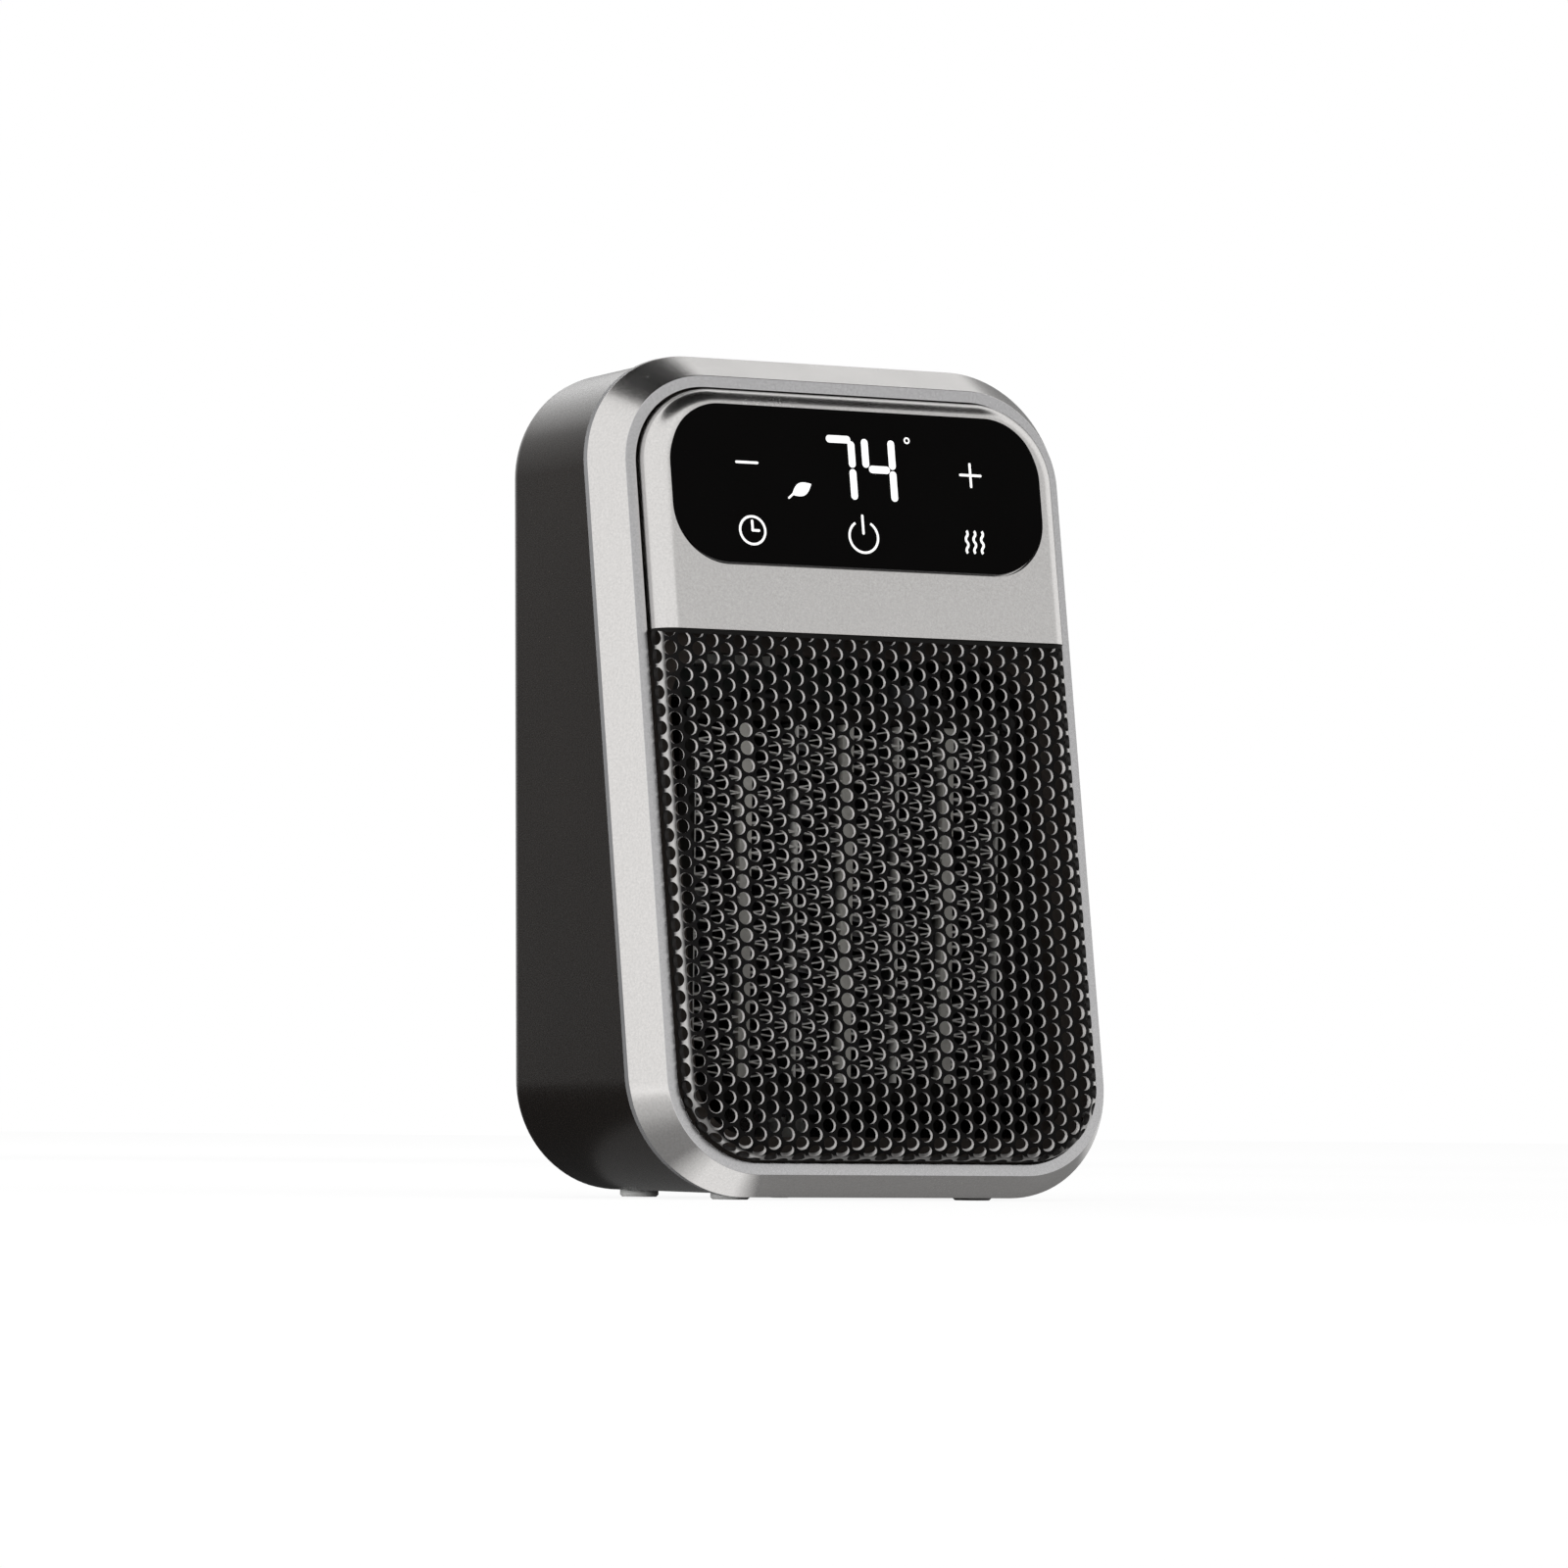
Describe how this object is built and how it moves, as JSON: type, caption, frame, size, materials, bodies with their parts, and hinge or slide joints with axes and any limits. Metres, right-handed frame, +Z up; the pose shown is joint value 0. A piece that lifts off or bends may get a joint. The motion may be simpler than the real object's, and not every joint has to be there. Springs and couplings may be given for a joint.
{
  "type": "desktop fan heater",
  "caption": "Compact free-standing ceramic fan heater with a leaning silver front, touch display, perforated grille, rear intake, power switch and tip-over switch.",
  "frame": {"origin": "middle of the bounding box in X and Y, on the surface that the feet stand on", "axes": "+Z up, the front faces -Y and leans back towards +Y, +X to the right seen from the front"},
  "size_m": [0.1528, 0.107, 0.2382],
  "materials": {
    "silver": "satin silver paint on moulded plastic",
    "dark_plastic": "fine matt texture",
    "black_gloss": "polished",
    "black_grille": "satin black powder coat",
    "frame_plastic": "plain moulded",
    "ceramic_bar": "plain drawn",
    "fin_aluminium": "bright folded strip",
    "heat_plastic": "heat-resistant, plain",
    "duct_plastic": "plain moulded",
    "fan_plastic": "plain moulded",
    "steel": "zinc-plated",
    "motor_steel": "satin",
    "bronze": "sintered",
    "board_green": "solder mask",
    "board_black": "black solder mask",
    "dark_steel": "blackened",
    "component_black": "moulded",
    "component_yellow": "taped",
    "component_blue": "moulded",
    "terminal_plastic": "moulded",
    "rubber": "pale silicone, matt",
    "white_plastic": "plain moulded"
  },
  "bodies": {
    "heater": {"rear_housing": "dark_plastic", "front_bezel": "silver", "front_frame": "frame_plastic", "control_panel": "silver", "display_window": "black_gloss", "front_grille": "black_grille", "display_board": "board_black", "digit_module": "black_gloss", "touch_pads": "steel", "rubber_feet": "rubber", "housing_screws": "steel", "element_bars": "ceramic_bar", "element_fins": "fin_aluminium", "element_dividers": "fin_aluminium", "element_holder": "heat_plastic", "element_screws": "dark_steel", "thermal_cutoff": "component_black", "thermal_fuse": "steel", "air_duct": "duct_plastic", "fan_motor": "motor_steel", "motor_bushes": "bronze", "fan_bracket": "duct_plastic", "power_board": "board_green", "relays": "component_blue", "transformer": "component_yellow", "filter_capacitor": "component_black", "terminal_block": "terminal_plastic", "board_screws": "steel", "switch_frame": "black_gloss", "cord_gland": "dark_plastic", "gland_nut": "dark_plastic", "tip_cage": "white_plastic", "plunger_spring": "steel", "tip_switch": "component_black", "room_sensor": "component_black"},
    "fan": {"fan_impeller": "fan_plastic", "motor_shaft": "steel"},
    "power_key": {"switch_key": "black_gloss"},
    "tip_over_plunger": {"tip_plunger": "white_plastic"}
  },
  "joints": [
    {"name": "fan_spin", "type": "hinge", "parent": "heater", "child": "fan", "pos_m": [0, 0, 0.08366], "axis": [0, 1, 0], "continuous": true},
    {"name": "power_rock", "type": "hinge", "parent": "heater", "child": "power_key", "pos_m": [0.036, 0.04573, 0.02005], "axis": [0, 0.0297, 0.9996], "range_deg": [-16, 0]},
    {"name": "tip_press", "type": "slide", "parent": "heater", "child": "tip_over_plunger", "axis": [0, 0, -1], "range_m": [0, 0.003], "stiffness_N_per_m": 120, "springref_m": 0.006, "deforming": ["plunger_spring"]}
  ]
}
